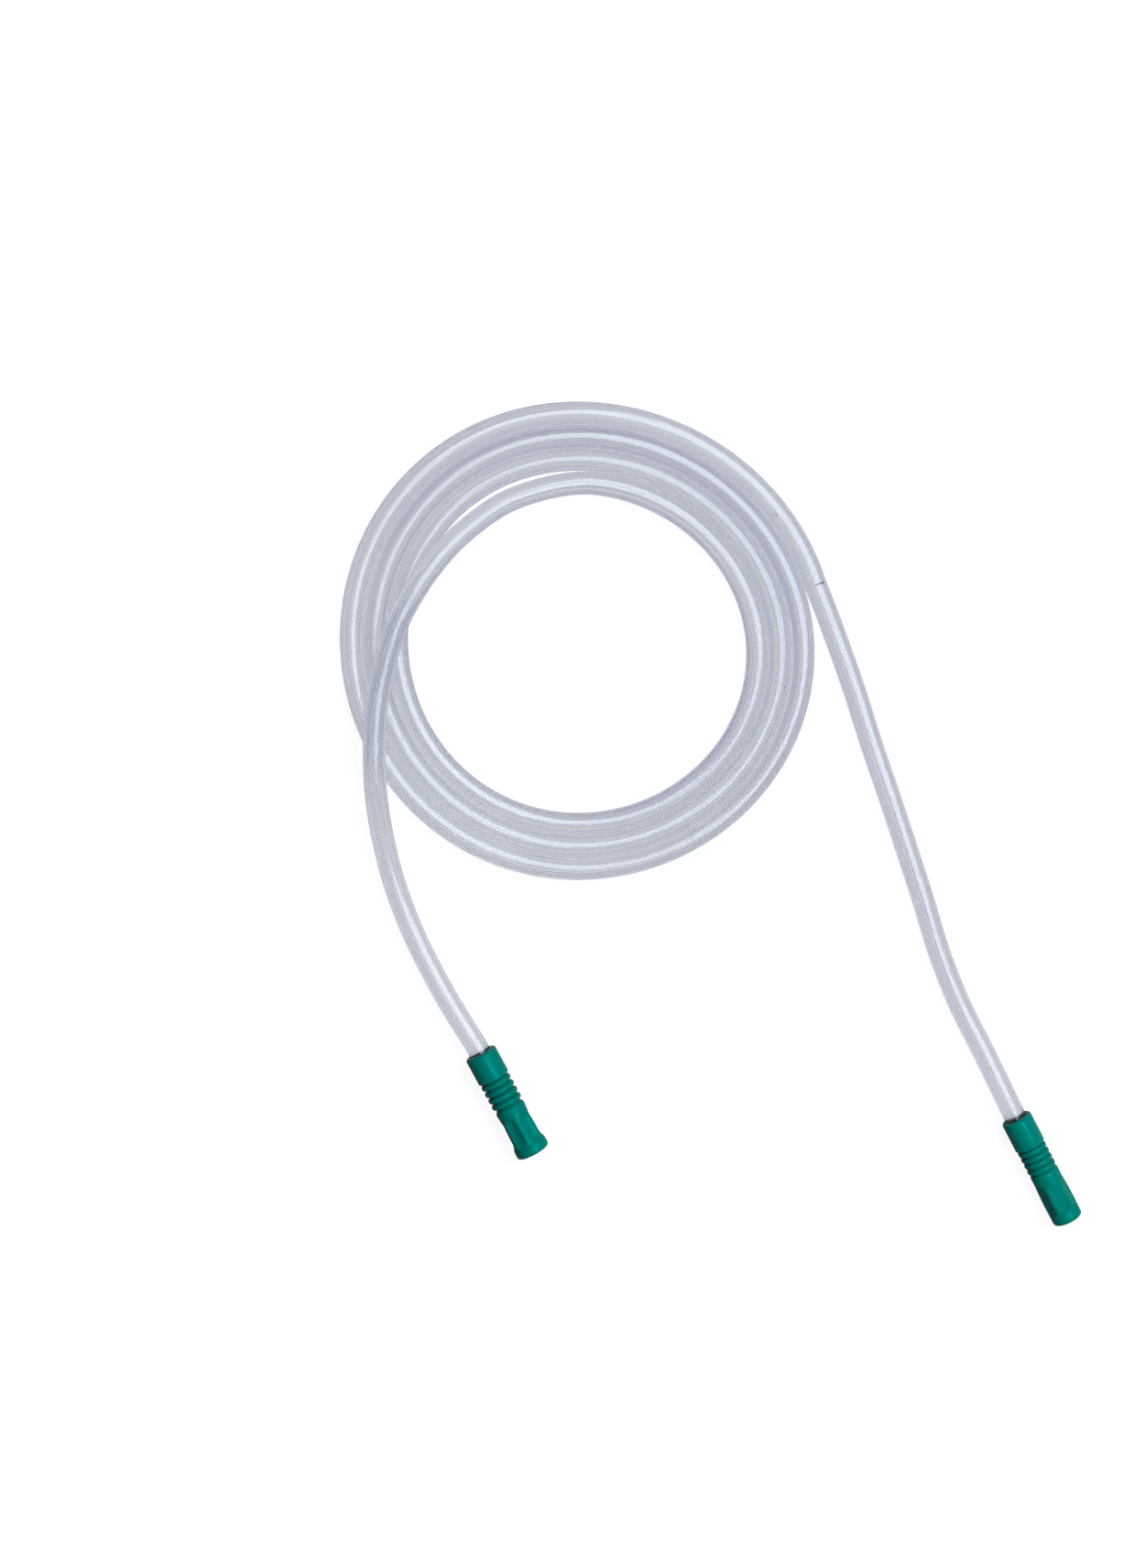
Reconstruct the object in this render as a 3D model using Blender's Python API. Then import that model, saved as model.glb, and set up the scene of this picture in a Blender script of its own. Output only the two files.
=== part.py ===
"""Suction connecting tube: a long clear PVC tube, loosely coiled on a table, with a soft
green funnel connector pushed onto each end.

Metres, +Z up. The part lies on the plane z = 0 and both connectors point along -Y.
Three pieces: the extruded tube and the two moulded connectors.
"""

import math

import bmesh
import bpy
from mathutils import Matrix, Vector

# Tube: one extruded length, open at both ends
TUBE_OD = 0.0083
TUBE_WALL = 0.00135
TUBE_BEVEL_RESOLUTION = 4
ROUTE_SPACING = 0.015

# Coil: a spiral wound from its outermost turn inwards, a little out of round
COIL_X = 0.0091
COIL_Y = 0.0927
COIL_RADIUS = 0.08808
COIL_OVAL = 0.0010
COIL_OVAL_ANGLE = -52.0
COIL_LOBE = 0.00048
COIL_LOBE_ANGLE = -26.5
TURN_GAP = 0.0001
COIL_START_ANGLE = -12
COIL_END_ANGLE = 1140
COIL_STEP_ANGLE = 12
CLIMB_START_ANGLE = 1125
CLIMB_END_ANGLE = 1222

# Tails: x, y and how far the tube is lifted off the table, as a share of one strand.
# From the straight connector up to the outermost turn
STRAIGHT_TAIL = (
    (0.0721, -0.1112, 0.07),
    (0.0724, -0.0903, 0.01),
    (0.0745, -0.0694, 0.00),
    (0.0782, -0.0487, 0.00),
    (0.0815, -0.0283, 0.00),
    (0.0847, -0.0078, 0.00),
    (0.0876, 0.0123, 0.00),
    (0.0910, 0.0326, 0.00),
    (0.0937, 0.0526, 0.00),
)

# From the innermost turn over the other turns to the flared connector
FLARED_TAIL = (
    (0.0156, 0.1526, 0.40),
    (-0.0036, 0.1518, 0.63),
    (-0.0231, 0.1460, 0.88),
    (-0.0444, 0.1337, 1.00),
    (-0.0611, 0.1168, 1.00),
    (-0.0717, 0.1018, 1.03),
    (-0.0811, 0.0840, 0.91),
    (-0.0880, 0.0663, 0.42),
    (-0.0932, 0.0465, 0.12),
    (-0.0958, 0.0260, 0.03),
    (-0.0962, 0.0054, 0.12),
    (-0.0956, -0.0086, 0.20),
)
STRAIGHT_RUN = 0.0035

# Fit of the tube in both connectors
SEAT_GAP = 0.0003
SOCKET_FLOOR = 0.0009
RIM_CHAMFER = 0.0003
RIM_ROUND = 0.0010
ROUND_STEPS = 4
EDGE_EASE = 0.0001
NECK_WALL = 0.0016
PROFILE_SPACING = 0.0016
SHARP_ANGLE = 40.0
SAME_PLACE = 1e-7

# Ribbed bend relief of both connectors
RIB_COUNT = 4
RIB_ARC_STEPS = 4
CONNECTOR_SIDES = 36
GRIP_COUNT = 6

# Flared connector: wide collar at the mouth, six rounded flutes as finger grips
FLARED_X = -0.0947
FLARED_RIM_Y = -0.02335
FLARED_LENGTH = 0.0429
FLARED_SOCKET_WALL = 0.0017
FLARED_BARREL_LENGTH = 0.0110
FLARED_RIB_PITCH = 0.00275
FLARED_RIB_GROOVE = 0.0007
FLARED_RIB_DROP = 0.00015
FLARED_RIB_DEPTH = 0.0010
FLARED_SHOULDER_RADIUS = 0.00582
FLARED_SHOULDER_LENGTH = 0.0040
FLARED_WAIST_RADIUS = 0.00568
FLARED_GRIP_RADIUS = 0.0061
FLARED_COLLAR_RADIUS = 0.0065
FLARED_COLLAR_LENGTH = 0.0050
FLARED_MOUTH_ROUND = 0.0011
FLARED_MOUTH_WALL = 0.00205
FLUTE_WIDTH = 0.0046
FLUTE_DEPTH = 0.00080
FLUTE_END_RATIO = 0.55
FLUTE_OVERRUN = 0.0011
FLUTE_TILT = 2.0
FLUTE_FIRST_ANGLE = 37.6
FLUTE_CUTTER_SIDES = 48
FLUTE_CUTTER_RINGS = 12

# Straight connector: plain mouth, six flat recessed panels as finger grips
STRAIGHT_X = 0.07145
STRAIGHT_RIM_Y = -0.13895
STRAIGHT_LENGTH = 0.0441
STRAIGHT_SOCKET_WALL = 0.0014
STRAIGHT_BARREL_LENGTH = 0.01205
STRAIGHT_RIB_PITCH = 0.00254
STRAIGHT_RIB_GROOVE = 0.0006
STRAIGHT_RIB_DROP = 0.00022
STRAIGHT_RIB_DEPTH = 0.0008
STRAIGHT_SHOULDER_RADIUS = 0.00555
STRAIGHT_SHOULDER_LENGTH = 0.0050
STRAIGHT_GRIP_RADIUS = 0.0058
STRAIGHT_LIP_RADIUS = 0.00578
STRAIGHT_LIP_LENGTH = 0.0046
STRAIGHT_LIP_GROOVE = 0.00022
STRAIGHT_MOUTH_ROUND = 0.0011
STRAIGHT_MOUTH_WALL = 0.00175
PANEL_WIDTH = 0.0043
PANEL_DEPTH = 0.00070
PANEL_FIRST_ANGLE = 3.0
PANEL_END_LAND = 0.0004

# Finishes
CLEAR_PVC = (0.62, 0.65, 0.74, 1.0)
GREEN_PVC = (0.004, 0.155, 0.130, 1.0)


def clear_scene():
    """Remove every object, so that the script gives the same part each run."""
    for item in list(bpy.data.objects):
        bpy.data.objects.remove(item, do_unlink=True)


def material(name, color, roughness, transmission=0.0):
    """One plastic finish."""
    finish = bpy.data.materials.new(name)
    finish.use_nodes = True
    shader = finish.node_tree.nodes["Principled BSDF"]
    shader.inputs["Base Color"].default_value = color
    shader.inputs["Roughness"].default_value = roughness
    shader.inputs["Metallic"].default_value = 0.0
    shader.inputs["Transmission Weight"].default_value = transmission
    return finish


def add_object(name, data):
    """Link new data to the scene under the sub-part's name."""
    item = bpy.data.objects.new(name, data)
    bpy.context.collection.objects.link(item)
    return item


def smooth_curve(points, spacing, before, after):
    """Points about one spacing apart on a smooth curve through the given points.

    The curve leaves the first point and reaches the last one in line with the
    neighbours before and after, so that it runs on into what it joins.
    """
    chain = [Vector(before)] + [Vector(point) for point in points] + [Vector(after)]
    result = []
    for index in range(1, len(chain) - 2):
        p0, p1, p2, p3 = chain[index - 1:index + 3]
        steps = max(1, round((p2 - p1).length / spacing))
        for step in range(steps):
            t = step / steps
            along = 2 * p1 + (p2 - p0) * t
            bend = (2 * p0 - 5 * p1 + 4 * p2 - p3) * t ** 2
            twist = (3 * p1 - p0 - 3 * p2 + p3) * t ** 3
            result.append((along + bend + twist) / 2)
    result.append(chain[-2])
    return result


def lift_height(share):
    """Height of the tube's axis where it is lifted by a share of one strand."""
    return TUBE_OD / 2 + share * (TUBE_OD + TURN_GAP)


def climb_share(angle):
    """Share of one strand that the innermost turn has climbed at an angle."""
    t = (angle - CLIMB_START_ANGLE) / (CLIMB_END_ANGLE - CLIMB_START_ANGLE)
    t = min(1.0, max(0.0, t))
    return t * t * (3 - 2 * t)


def coil_point(angle):
    """Point on the spiral's axis at an angle in degrees, counted from its start."""
    turn = math.radians(angle)
    radius = COIL_RADIUS - (TUBE_OD + TURN_GAP) * angle / 360
    radius += COIL_OVAL * math.cos(2 * (turn - math.radians(COIL_OVAL_ANGLE)))
    radius += COIL_LOBE * math.cos(3 * (turn - math.radians(COIL_LOBE_ANGLE)))
    x = COIL_X + radius * math.cos(turn)
    y = COIL_Y + radius * math.sin(turn)
    return Vector((x, y, lift_height(climb_share(angle))))


def socket_run(x, rim_y, barrel_length, axis_height):
    """The tube's straight run in a connector: its seated end, the rim and its bend."""
    seat_y = rim_y - (barrel_length - SOCKET_FLOOR - SEAT_GAP)
    return (
        Vector((x, seat_y, axis_height)),
        Vector((x, rim_y, axis_height)),
        Vector((x, rim_y + STRAIGHT_RUN, axis_height)),
    )


def tube_route():
    """The whole axis of the tube, from the straight connector to the flared one."""
    coil = [
        coil_point(angle)
        for angle in range(COIL_START_ANGLE, COIL_END_ANGLE + 1, COIL_STEP_ANGLE)
    ]
    seat, rim, bend = socket_run(
        STRAIGHT_X, STRAIGHT_RIM_Y, STRAIGHT_BARREL_LENGTH, straight_axis_height()
    )
    first_tail = [rim, bend]
    first_tail += [Vector((x, y, lift_height(share))) for x, y, share in STRAIGHT_TAIL]
    first_tail.append(coil[0])
    start = smooth_curve(first_tail, ROUTE_SPACING, seat, coil[1])

    last_seat, last_rim, last_bend = socket_run(
        FLARED_X, FLARED_RIM_Y, FLARED_BARREL_LENGTH, flared_axis_height()
    )
    last_tail = [coil[-1]]
    last_tail += [Vector((x, y, lift_height(share))) for x, y, share in FLARED_TAIL]
    last_tail += [last_bend, last_rim]
    end = smooth_curve(last_tail, ROUTE_SPACING, coil[-3], last_seat)
    return [seat] + start[:-1] + coil[:-1] + end + [last_seat]


def make_tube():
    """The clear tube: a round section swept along its route, with an open lumen."""
    route = tube_route()
    curve = bpy.data.curves.new("tube", "CURVE")
    curve.dimensions = "3D"
    curve.twist_mode = "Z_UP"
    curve.resolution_u = 1
    curve.render_resolution_u = 0
    curve.bevel_depth = TUBE_OD / 2
    curve.bevel_resolution = TUBE_BEVEL_RESOLUTION
    curve.use_fill_caps = False
    spline = curve.splines.new("POLY")
    spline.points.add(len(route) - 1)
    for target, point in zip(spline.points, route):
        target.co = (*point, 1.0)
    spline.use_smooth = True
    tube = add_object("tube", curve)
    wall = tube.modifiers.new("wall", "SOLIDIFY")
    wall.thickness = TUBE_WALL
    wall.offset = -1.0
    wall.use_rim = True
    curve.materials.append(material("clear_pvc", CLEAR_PVC, 0.2, 0.5))
    return tube


def arc(center_t, center_r, radius_t, radius_r, start, end, steps):
    """Profile points on part of an ellipse; angle 0 points to the mouth, 90 outwards."""
    points = []
    for step in range(steps + 1):
        angle = math.radians(start + (end - start) * step / steps)
        points.append(
            (center_t + radius_t * math.cos(angle), center_r + radius_r * math.sin(angle))
        )
    return points


def barrel_profile(radius, length):
    """Outer line of the tube socket: rounded rim, plain barrel, softened lower edge."""
    edge = RIM_ROUND / 2
    points = arc(
        RIM_ROUND, radius - RIM_ROUND, RIM_ROUND, RIM_ROUND, 180, 90, ROUND_STEPS
    )
    points += arc(length - edge, radius - edge, edge, edge, 90, 0, ROUND_STEPS // 2)
    return points


def rib_profile(start, pitch, groove, crest, depth):
    """Outer line of the ring ribs, each a rounded crest after its groove."""
    points = []
    half = (pitch - groove) / 2
    for index in range(RIB_COUNT):
        center = start + groove + half + index * pitch
        points += arc(center, crest - depth, half, depth, 180, 0, RIB_ARC_STEPS)
    return points


def smooth_profile(stations):
    """A fair line through a few stations, each a distance from the rim and a radius."""
    line = [Vector((t, r, 0.0)) for t, r in stations]
    before = 2 * line[0] - line[1]
    after = 2 * line[-1] - line[-2]
    line = smooth_curve(line, PROFILE_SPACING, before, after)
    return [(point.x, point.y) for point in line]


def bore_profile(length, mouth_radius, neck_radius, neck_end, socket_radius, socket_depth):
    """Inner line from the mouth to the rim: funnel, neck, shoulder stop and socket."""
    return [
        (length, mouth_radius + RIM_CHAMFER),
        (length - RIM_CHAMFER, mouth_radius),
        (neck_end, neck_radius),
        (socket_depth, neck_radius),
        (socket_depth, socket_radius),
        (RIM_CHAMFER, socket_radius),
        (0.0, socket_radius + RIM_CHAMFER),
    ]


def flared_barrel_radius():
    """Outer radius of the flared connector's barrel, from the tube that it holds."""
    return TUBE_OD / 2 + SEAT_GAP + FLARED_SOCKET_WALL


def straight_barrel_radius():
    """Outer radius of the straight connector's barrel, from the tube that it holds."""
    return TUBE_OD / 2 + SEAT_GAP + STRAIGHT_SOCKET_WALL


def flared_ribs_end():
    """Distance from the flared connector's rim to the end of its last groove."""
    return FLARED_BARREL_LENGTH + RIB_COUNT * FLARED_RIB_PITCH + FLARED_RIB_GROOVE


def straight_ribs_end():
    """Distance from the straight connector's rim to the end of its last groove."""
    return STRAIGHT_BARREL_LENGTH + RIB_COUNT * STRAIGHT_RIB_PITCH + STRAIGHT_RIB_GROOVE


def flared_axis_height():
    """Height of the flared connector's axis: it lies on its widest ring."""
    return max(FLARED_COLLAR_RADIUS, flared_barrel_radius())


def straight_axis_height():
    """Height of the straight connector's axis: it lies on its widest ring."""
    return max(STRAIGHT_GRIP_RADIUS, STRAIGHT_LIP_RADIUS, straight_barrel_radius())


def revolve(name, profile, x, rim_y, axis_height, finish):
    """Turn a closed profile about the connector's axis; it runs from the rim to -Y."""
    mesh = bpy.data.meshes.new(name)
    work = bmesh.new()
    ring = [work.verts.new((0.0, -t, r)) for t, r in profile]
    edges = [work.edges.new((a, b)) for a, b in zip(ring, ring[1:] + ring[:1])]
    bmesh.ops.spin(
        work, geom=ring + edges, cent=(0, 0, 0), axis=(0, 1, 0), dvec=(0, 0, 0),
        angle=2 * math.pi, steps=CONNECTOR_SIDES, use_merge=True, use_duplicate=False,
    )
    bmesh.ops.recalc_face_normals(work, faces=work.faces)
    work.to_mesh(mesh)
    work.free()
    mesh.shade_smooth()
    mesh.set_sharp_from_angle(angle=math.radians(SHARP_ANGLE))
    mesh.materials.append(finish)
    body = add_object(name, mesh)
    body.location = (x, rim_y, axis_height)
    return body


def cut(body, name, build_cutter):
    """Cut one shape out of a body, repeated round its axis."""
    mesh = bpy.data.meshes.new(name)
    work = bmesh.new()
    build_cutter(work)
    work.to_mesh(mesh)
    work.free()
    cutter = add_object(name, mesh)
    cutter.location = body.location
    cutter.hide_render = True
    cutter.display_type = "WIRE"
    boolean = body.modifiers.new(name, "BOOLEAN")
    boolean.operation = "DIFFERENCE"
    boolean.solver = "EXACT"
    boolean.object = cutter
    return cutter


def around_axis(work, verts, first_angle):
    """Repeat the given shape evenly round the Y axis, the first turned from +Z."""
    shape = [face for face in work.faces]
    for index in range(1, GRIP_COUNT):
        copy = bmesh.ops.duplicate(work, geom=shape)
        copied = [item for item in copy["geom"] if isinstance(item, bmesh.types.BMVert)]
        angle = math.radians(first_angle + index * 360 / GRIP_COUNT)
        bmesh.ops.rotate(work, verts=copied, matrix=Matrix.Rotation(angle, 3, "Y"))
    turned = Matrix.Rotation(math.radians(first_angle), 3, "Y")
    bmesh.ops.rotate(work, verts=verts, matrix=turned)


def flute_cutter(work):
    """Six long rounded bodies; the flutes they leave deepen towards the mouth."""
    start_t = flared_ribs_end() + FLARED_SHOULDER_LENGTH
    end_t = FLARED_LENGTH - FLARED_COLLAR_LENGTH + FLUTE_OVERRUN
    length = end_t - start_t
    crown = (FLARED_WAIST_RADIUS + FLARED_GRIP_RADIUS) / 2
    half = FLUTE_WIDTH / 2
    side_drop = crown - math.sqrt(crown ** 2 - half ** 2)
    floor = FLUTE_DEPTH - side_drop
    radius = (half ** 2 + floor ** 2) / (2 * floor)
    end_reach = FLUTE_END_RATIO * radius
    cut_reach = end_reach * math.sqrt(1 - (1 - FLUTE_DEPTH / radius) ** 2)
    straight = length - 2 * cut_reach
    bmesh.ops.create_uvsphere(
        work, u_segments=FLUTE_CUTTER_SIDES, v_segments=FLUTE_CUTTER_RINGS, radius=radius,
        matrix=Matrix.Rotation(math.radians(90), 4, "X"),
    )
    bmesh.ops.scale(work, verts=work.verts, vec=(1, FLUTE_END_RATIO, 1))
    for sign in (-1, 1):
        end = [vert for vert in work.verts if vert.co.y * sign > SAME_PLACE]
        bmesh.ops.translate(work, verts=end, vec=(0, sign * straight / 2, 0))
    slope = math.atan2(FLARED_GRIP_RADIUS - FLARED_WAIST_RADIUS, length)
    slope -= math.radians(FLUTE_TILT)
    bmesh.ops.rotate(work, verts=work.verts, matrix=Matrix.Rotation(-slope, 3, "X"))
    seat = (0, -(start_t + end_t) / 2, crown - FLUTE_DEPTH + radius)
    bmesh.ops.translate(work, verts=work.verts, vec=seat)
    around_axis(work, list(work.verts), FLUTE_FIRST_ANGLE)


def panel_cutter(work):
    """Six blocks that leave flat rectangular panels in the grip."""
    start_t = straight_ribs_end() + STRAIGHT_SHOULDER_LENGTH
    end_t = STRAIGHT_LENGTH - STRAIGHT_LIP_LENGTH - PANEL_END_LAND
    floor = STRAIGHT_GRIP_RADIUS - PANEL_DEPTH
    height = STRAIGHT_GRIP_RADIUS
    seat = (0, -(start_t + end_t) / 2, floor + height / 2)
    bmesh.ops.create_cube(work, size=1.0)
    bmesh.ops.scale(work, verts=work.verts, vec=(PANEL_WIDTH, end_t - start_t, height))
    bmesh.ops.translate(work, verts=work.verts, vec=seat)
    around_axis(work, list(work.verts), PANEL_FIRST_ANGLE)


def make_flared_connector(finish):
    """The wide-mouthed connector: socket, ring ribs, fluted grip and collar."""
    barrel = flared_barrel_radius()
    crest = barrel - FLARED_RIB_DROP
    groove = crest - FLARED_RIB_DEPTH
    neck = groove - NECK_WALL
    ribs_end = flared_ribs_end()
    collar_t = FLARED_LENGTH - FLARED_COLLAR_LENGTH
    flutes_t = ribs_end + FLARED_SHOULDER_LENGTH
    mouth_round = FLARED_MOUTH_ROUND
    grip = [
        (ribs_end + RIM_ROUND, FLARED_SHOULDER_RADIUS - EDGE_EASE),
        (ribs_end + 2 * RIM_ROUND, FLARED_SHOULDER_RADIUS),
        (flutes_t, FLARED_WAIST_RADIUS),
        ((flutes_t + collar_t) / 2, FLARED_GRIP_RADIUS - EDGE_EASE),
        (collar_t, FLARED_GRIP_RADIUS),
        (collar_t + RIM_ROUND, FLARED_COLLAR_RADIUS - EDGE_EASE),
        (collar_t + 2 * RIM_ROUND, FLARED_COLLAR_RADIUS),
    ]
    outer = barrel_profile(barrel, FLARED_BARREL_LENGTH)
    outer += rib_profile(
        FLARED_BARREL_LENGTH, FLARED_RIB_PITCH, FLARED_RIB_GROOVE, crest, FLARED_RIB_DEPTH
    )
    outer.append((ribs_end, groove))
    outer += smooth_profile(grip)
    outer += arc(
        FLARED_LENGTH - mouth_round, FLARED_COLLAR_RADIUS - mouth_round,
        mouth_round, mouth_round, 90, 0, ROUND_STEPS,
    )
    bore = bore_profile(
        FLARED_LENGTH, FLARED_COLLAR_RADIUS - FLARED_MOUTH_WALL, neck, ribs_end,
        TUBE_OD / 2 + SEAT_GAP, FLARED_BARREL_LENGTH - SOCKET_FLOOR,
    )
    body = revolve(
        "flared_connector", outer + bore, FLARED_X, FLARED_RIM_Y,
        flared_axis_height(), finish,
    )
    cut(body, "flute_cutter", flute_cutter)
    return body


def make_straight_connector(finish):
    """The plain-mouthed connector: socket, ring ribs, panelled grip and lip."""
    barrel = straight_barrel_radius()
    crest = barrel - STRAIGHT_RIB_DROP
    groove = crest - STRAIGHT_RIB_DEPTH
    neck = groove - NECK_WALL
    ribs_end = straight_ribs_end()
    lip_t = STRAIGHT_LENGTH - STRAIGHT_LIP_LENGTH
    panels_t = ribs_end + STRAIGHT_SHOULDER_LENGTH
    panels_end = lip_t - PANEL_END_LAND
    mouth_round = STRAIGHT_MOUTH_ROUND
    grip = [
        (ribs_end + RIM_ROUND / 2, STRAIGHT_SHOULDER_RADIUS - EDGE_EASE),
        (ribs_end + 3 * RIM_ROUND / 2, STRAIGHT_SHOULDER_RADIUS),
        (panels_t, STRAIGHT_SHOULDER_RADIUS),
        ((panels_t + panels_end) / 2, STRAIGHT_GRIP_RADIUS),
        (panels_end, STRAIGHT_GRIP_RADIUS),
        (lip_t, STRAIGHT_LIP_RADIUS - STRAIGHT_LIP_GROOVE),
        (lip_t + PANEL_END_LAND, STRAIGHT_LIP_RADIUS),
    ]
    outer = barrel_profile(barrel, STRAIGHT_BARREL_LENGTH)
    outer += rib_profile(
        STRAIGHT_BARREL_LENGTH, STRAIGHT_RIB_PITCH, STRAIGHT_RIB_GROOVE, crest,
        STRAIGHT_RIB_DEPTH,
    )
    outer.append((ribs_end, groove))
    outer += smooth_profile(grip)
    outer += arc(
        STRAIGHT_LENGTH - mouth_round, STRAIGHT_LIP_RADIUS - mouth_round,
        mouth_round, mouth_round, 90, 0, ROUND_STEPS,
    )
    bore = bore_profile(
        STRAIGHT_LENGTH, STRAIGHT_LIP_RADIUS - STRAIGHT_MOUTH_WALL, neck, ribs_end,
        TUBE_OD / 2 + SEAT_GAP, STRAIGHT_BARREL_LENGTH - SOCKET_FLOOR,
    )
    body = revolve(
        "straight_connector", outer + bore, STRAIGHT_X, STRAIGHT_RIM_Y,
        straight_axis_height(), finish,
    )
    cut(body, "panel_cutter", panel_cutter)
    return body


def main():
    """Build the three pieces of the suction tube."""
    clear_scene()
    make_tube()
    make_flared_connector(material("green_pvc_flared", GREEN_PVC, 0.35))
    make_straight_connector(material("green_pvc_straight", GREEN_PVC, 0.35))


main()
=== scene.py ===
"""The look of a suction connecting tube: clear star-lumen PVC and soft green connectors.

Everything is in metres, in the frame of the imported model. The finished pieces replace the
plain solids one for one: the tube, the flared connector and the straight connector.
"""

import logging
import math
from dataclasses import dataclass
from enum import Enum

import bmesh
import bpy
from mathutils import Matrix, Vector


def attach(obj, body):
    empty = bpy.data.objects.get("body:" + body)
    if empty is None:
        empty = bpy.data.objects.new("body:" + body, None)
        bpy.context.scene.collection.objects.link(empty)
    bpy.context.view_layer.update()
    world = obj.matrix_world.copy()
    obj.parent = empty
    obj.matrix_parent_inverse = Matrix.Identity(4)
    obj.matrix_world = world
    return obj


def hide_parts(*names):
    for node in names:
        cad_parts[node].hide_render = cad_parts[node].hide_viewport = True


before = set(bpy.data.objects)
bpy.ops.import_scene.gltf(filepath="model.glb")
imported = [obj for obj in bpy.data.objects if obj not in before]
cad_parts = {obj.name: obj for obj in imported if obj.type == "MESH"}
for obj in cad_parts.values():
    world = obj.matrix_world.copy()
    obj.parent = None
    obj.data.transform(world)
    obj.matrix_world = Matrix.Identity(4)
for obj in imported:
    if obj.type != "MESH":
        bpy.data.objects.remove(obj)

LOG = logging.getLogger("suction_tube")
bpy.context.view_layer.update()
TUBE_OD = 0.0083
Point2 = tuple[float, float]
Point3 = tuple[float, float, float]
Color = tuple[float, float, float, float]


class GripStyle(Enum):
    """The two finger grips that the moulded connectors have."""

    FLUTES = "flutes"
    PANELS = "panels"


def fill(owner: bpy.types.ID, socket: bpy.types.NodeSocket, value: object) -> None:
    """Link a node's input to another socket, or give it a plain value.

    Args:
        owner: The material or world whose tree holds the node.
        socket: The input.
        value: A socket, a number, a vector or a colour.
    """
    if isinstance(value, bpy.types.NodeSocket):
        owner.node_tree.links.new(value, socket)
    else:
        socket.default_value = value


def node(owner: bpy.types.ID, kind: str, **inputs: object) -> bpy.types.Node:
    """Add a shader node and fill its inputs by name.

    Args:
        owner: The material or world whose tree takes the node.
        kind: The node's type name.
        **inputs: Values by input name, with underscores for spaces; a socket is linked.

    Returns:
        The new node.
    """
    made = owner.node_tree.nodes.new(kind)
    for name, value in inputs.items():
        fill(owner, made.inputs[name.replace("_", " ")], value)
    return made


def math_node(
    owner: bpy.types.ID, operation: str, *values: object, clamp: bool = False
) -> bpy.types.NodeSocket:
    """Add a Math node.

    Args:
        owner: The material or world whose tree takes the node.
        operation: The name of the operation.
        *values: Numbers or sockets, in the order of the inputs.
        clamp: Whether the result stays from 0 to 1.

    Returns:
        The node's result.
    """
    made = node(owner, "ShaderNodeMath")
    made.operation = operation
    made.use_clamp = clamp
    for socket, value in zip(made.inputs, values):
        fill(owner, socket, value)
    return made.outputs["Value"]


def vector_node(owner: bpy.types.ID, operation: str, *values: object) -> bpy.types.Node:
    """Add a Vector Math node.

    Args:
        owner: The material or world whose tree takes the node.
        operation: The name of the operation.
        *values: Vectors or sockets, in the order of the inputs.

    Returns:
        The new node.
    """
    made = node(owner, "ShaderNodeVectorMath")
    made.operation = operation
    for socket, value in zip(made.inputs, values):
        fill(owner, socket, value)
    return made


def mix_color(
    owner: bpy.types.ID, share: object, first: object, second: object
) -> bpy.types.NodeSocket:
    """Mix two colours.

    Args:
        owner: The material or world whose tree takes the node.
        share: The second colour's share, a number or a socket.
        first: The colour at share 0, or a socket.
        second: The colour at share 1, or a socket.

    Returns:
        The mixed colour.
    """
    made = node(owner, "ShaderNodeMix")
    made.data_type = "RGBA"
    # A Mix node keeps its two colours at inputs 6 and 7, and the mixed one at output 2
    for index, value in ((0, share), (6, first), (7, second)):
        fill(owner, made.inputs[index], value)
    return made.outputs[2]


def new_material(name: str) -> tuple[bpy.types.Material, bpy.types.Node]:
    """Make a material with one Principled shader.

    Args:
        name: The material's name.

    Returns:
        The material and its shader.
    """
    material = bpy.data.materials.new(name)
    material.use_nodes = True
    return material, material.node_tree.nodes["Principled BSDF"]


def new_piece(
    work: bmesh.types.BMesh, name: str, finish: bpy.types.Material
) -> bpy.types.Object:
    """Put finished work in the scene as a piece at the origin.

    Args:
        work: The mesh, which is freed.
        name: The piece's name.
        finish: Its material.

    Returns:
        The piece.
    """
    mesh = bpy.data.meshes.new(name)
    work.to_mesh(mesh)
    work.free()
    mesh.materials.append(finish)
    piece = bpy.data.objects.new(name, mesh)
    bpy.context.collection.objects.link(piece)
    return piece


def shade_soft(piece: bpy.types.Object, sharp_angle: float) -> None:
    """Shade a piece smooth, except over edges sharper than an angle in degrees."""
    piece.data.shade_smooth()
    piece.data.set_sharp_from_angle(angle=math.radians(sharp_angle))


def eased(share: float) -> float:
    """Hold a share from 0 to 1 and let it leave and reach those ends softly.

    Args:
        share: The plain share, which may lie past the ends.

    Returns:
        The eased share.
    """
    held = min(1.0, max(0.0, share))
    return held * held * (3 - 2 * held)


def soft_least(first: float, second: float, blend: float) -> float:
    """The lesser of two values, with a soft passage where they are close.

    Args:
        first: One value.
        second: The other value.
        blend: The width of the passage.

    Returns:
        The lesser value.
    """
    share = min(1.0, max(0.0, 0.5 + 0.5 * (second - first) / blend))
    return second + (first - second) * share - blend * share * (1 - share)


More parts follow.
